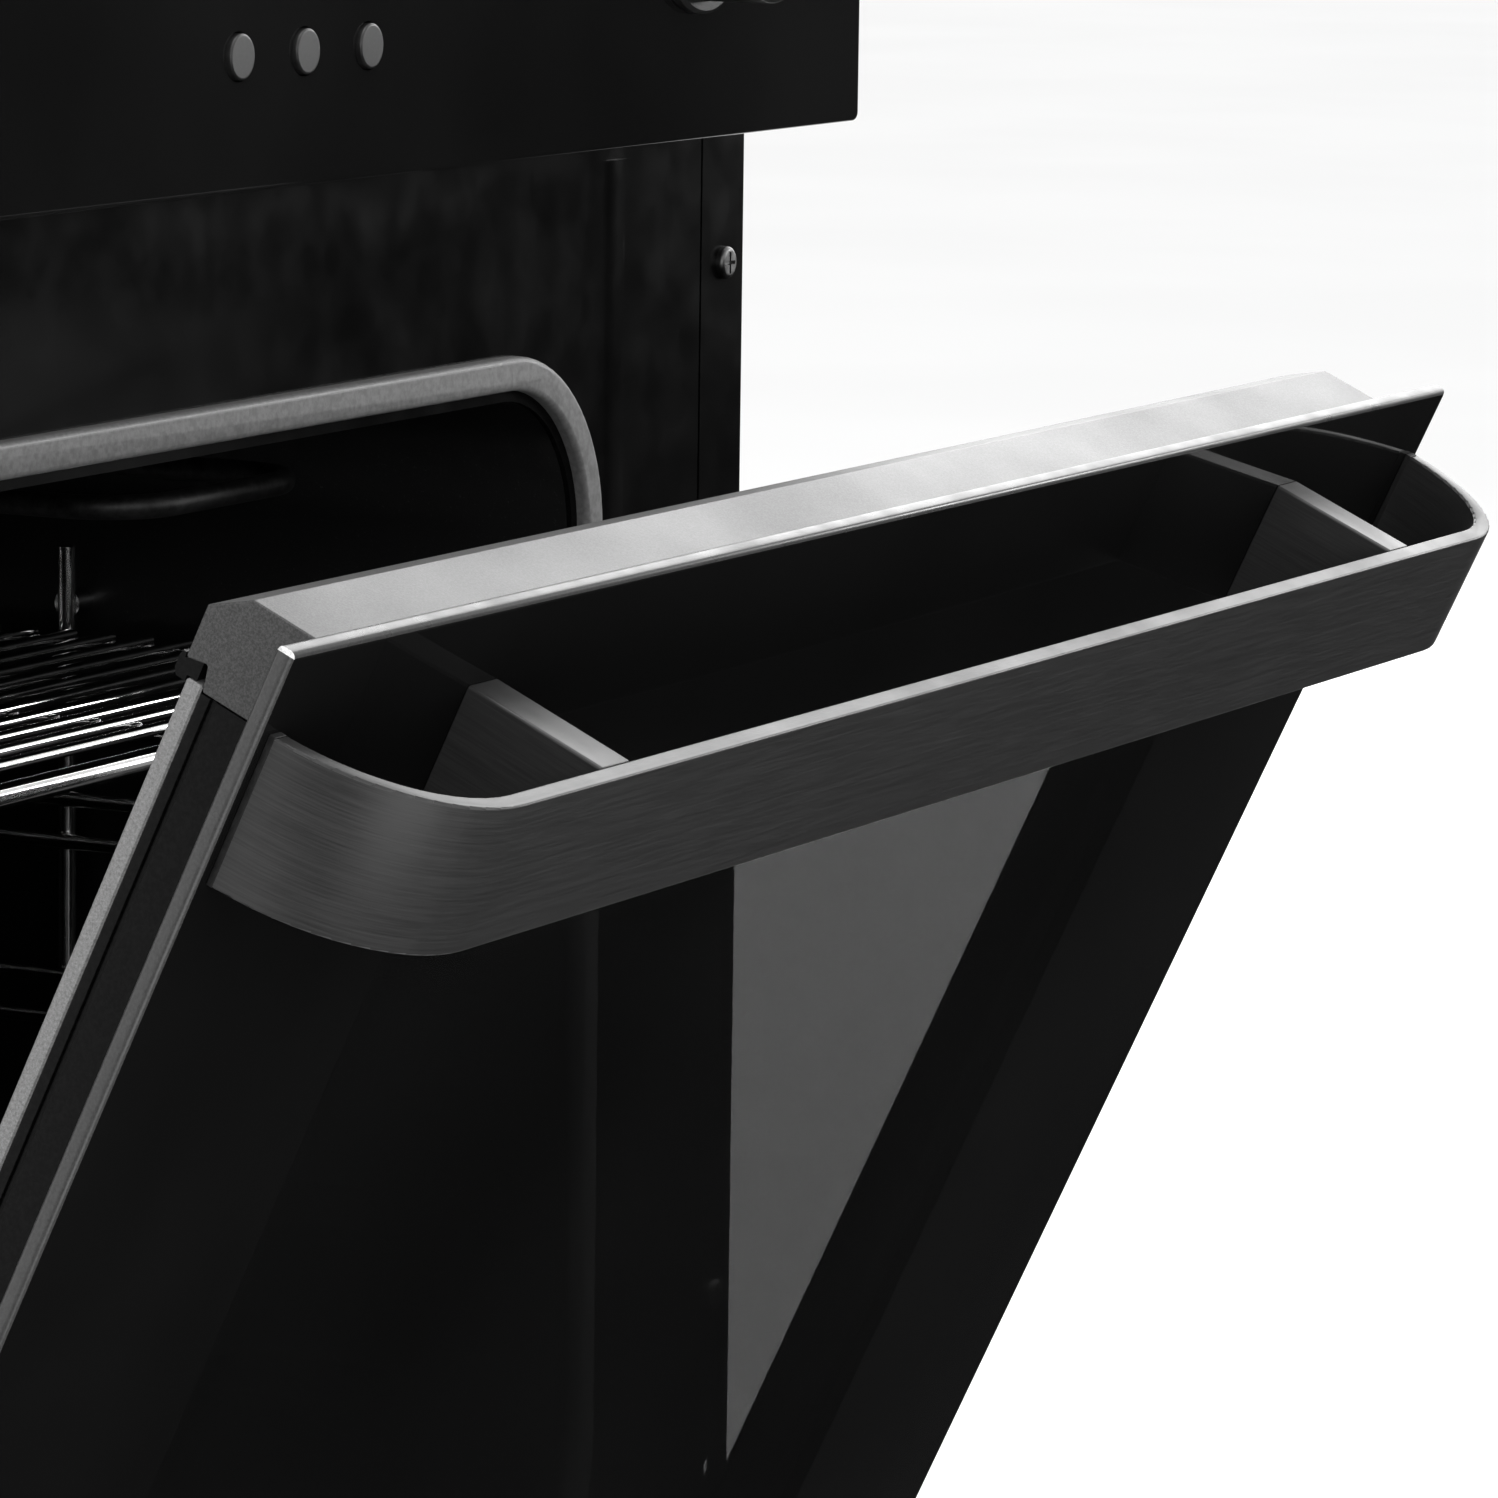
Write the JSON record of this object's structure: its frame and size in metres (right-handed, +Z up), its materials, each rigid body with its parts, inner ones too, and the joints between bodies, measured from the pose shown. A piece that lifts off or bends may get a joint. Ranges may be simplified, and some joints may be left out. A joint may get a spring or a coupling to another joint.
{
  "type": "built-in oven",
  "caption": "Built-in electric oven with a drop-down glass door, bow handle, control knobs, wire shelf, heating elements, convection fan and cooling blower.",
  "frame": {"origin": "centre of the base pan's underside", "axes": "+X to the right as seen from the front, +Y to the back, +Z up; the door faces -Y"},
  "size_m": [0.595, 0.7996, 0.595],
  "materials": {
    "black_glass": "gloss, back-printed black",
    "clear_glass": "polished, ground edges",
    "cap_trim": "fine-textured satin",
    "black_profile": "satin black",
    "handle_metal": "dark anodised, lengthwise brushed",
    "rubber_pad": "matt",
    "zinc_steel": "zinc-coated sheet",
    "bright_steel": "bright",
    "motor_steel": "laminated core",
    "black_enamel": "vitreous enamel, gloss",
    "cavity_enamel": "vitreous enamel, speckled",
    "seal_rubber": "silicone",
    "wool": "glass wool",
    "heater_sheath": "heat-darkened",
    "chrome_wire": "chrome plated",
    "lamp_glass": "clear",
    "pale_plastic": "moulded",
    "display_glass": "smoked",
    "knob_metal": "dark anodised, turned",
    "button_plastic": "moulded"
  },
  "bodies": {
    "chassis": {"back_panel": "zinc_steel", "base_pan": "zinc_steel", "blower_housing": "zinc_steel", "blower_motor": "motor_steel", "cavity_gasket": "seal_rubber", "cavity_liner": "cavity_enamel", "clock_module": "pale_plastic", "control_fascia": "black_glass", "control_housing": "zinc_steel", "cooling_duct_plate": "zinc_steel", "display_window": "display_glass", "fan_cover": "cavity_enamel", "fan_motor": "motor_steel", "frame_screws": "bright_steel", "front_frame": "black_enamel", "function_switch": "pale_plastic", "grill_element": "heater_sheath", "hinge_arms": "zinc_steel", "hinge_receivers": "zinc_steel", "insulation": "wool", "lamp_bulb": "lamp_glass", "lamp_housing": "zinc_steel", "lamp_lens": "lamp_glass", "lower_element": "heater_sheath", "ring_element": "heater_sheath", "shelf_ladders": "chrome_wire", "side_panel_left": "zinc_steel", "side_panel_right": "zinc_steel", "temperature_probe": "bright_steel", "terminal_block": "pale_plastic", "thermostat": "pale_plastic", "top_cover": "zinc_steel"},
    "door": {"door_outer_glass": "black_glass", "door_middle_glass": "clear_glass", "door_inner_glass": "clear_glass", "door_top_cap": "cap_trim", "glass_clips": "zinc_steel", "door_column_left": "black_profile", "door_column_right": "black_profile", "door_bottom_rail": "black_profile", "handle_strip": "handle_metal", "handle_bracket_left": "handle_metal", "handle_bracket_right": "handle_metal", "handle_end_pads": "rubber_pad", "handle_screws": "zinc_steel", "hinge_housing_left": "zinc_steel", "hinge_housing_right": "zinc_steel", "hinge_pins": "bright_steel", "hinge_springs": "bright_steel", "spring_rods": "bright_steel"},
    "function_control": {"function_knob": "knob_metal", "function_spindle": "bright_steel"},
    "temperature_control": {"temperature_knob": "knob_metal", "temperature_spindle": "bright_steel"},
    "minus_key": {"minus_button": "button_plastic"},
    "clock_key": {"clock_button": "button_plastic"},
    "plus_key": {"plus_button": "button_plastic"},
    "fan_rotor": {"convection_fan": "bright_steel"},
    "blower_rotor": {"blower_wheel": "black_profile"},
    "shelf": {"wire_shelf": "chrome_wire"}
  },
  "joints": [
    {"name": "door_hinge", "type": "hinge", "parent": "chassis", "child": "door", "pos_m": [0, -0.2815, 0.05], "axis": [1, 0, 0], "range_deg": [-25, 65], "stiffness_Nm_per_rad": 8, "springref_deg": -54.43},
    {"name": "function_turn", "type": "hinge", "parent": "chassis", "child": "function_control", "pos_m": [-0.2, -0.32, 0.538], "axis": [0, 1, 0], "range_deg": [0, 330]},
    {"name": "temperature_turn", "type": "hinge", "parent": "chassis", "child": "temperature_control", "pos_m": [0.2, -0.32, 0.538], "axis": [0, 1, 0], "range_deg": [0, 270]},
    {"name": "minus_press", "type": "slide", "parent": "chassis", "child": "minus_key", "axis": [0, 1, 0], "range_m": [0, 0.001], "stiffness_N_per_m": 600},
    {"name": "clock_press", "type": "slide", "parent": "chassis", "child": "clock_key", "axis": [0, 1, 0], "range_m": [0, 0.001], "stiffness_N_per_m": 600},
    {"name": "plus_press", "type": "slide", "parent": "chassis", "child": "plus_key", "axis": [0, 1, 0], "range_m": [0, 0.001], "stiffness_N_per_m": 600},
    {"name": "fan_spin", "type": "hinge", "parent": "chassis", "child": "fan_rotor", "pos_m": [0, 0.11, 0.24], "axis": [0, 1, 0], "continuous": true},
    {"name": "blower_spin", "type": "hinge", "parent": "chassis", "child": "blower_rotor", "pos_m": [0, 0.105, 0.51], "axis": [1, 0, 0], "continuous": true},
    {"name": "shelf_slide", "type": "slide", "parent": "chassis", "child": "shelf", "axis": [0, -1, 0], "range_m": [0, 0.13]}
  ]
}
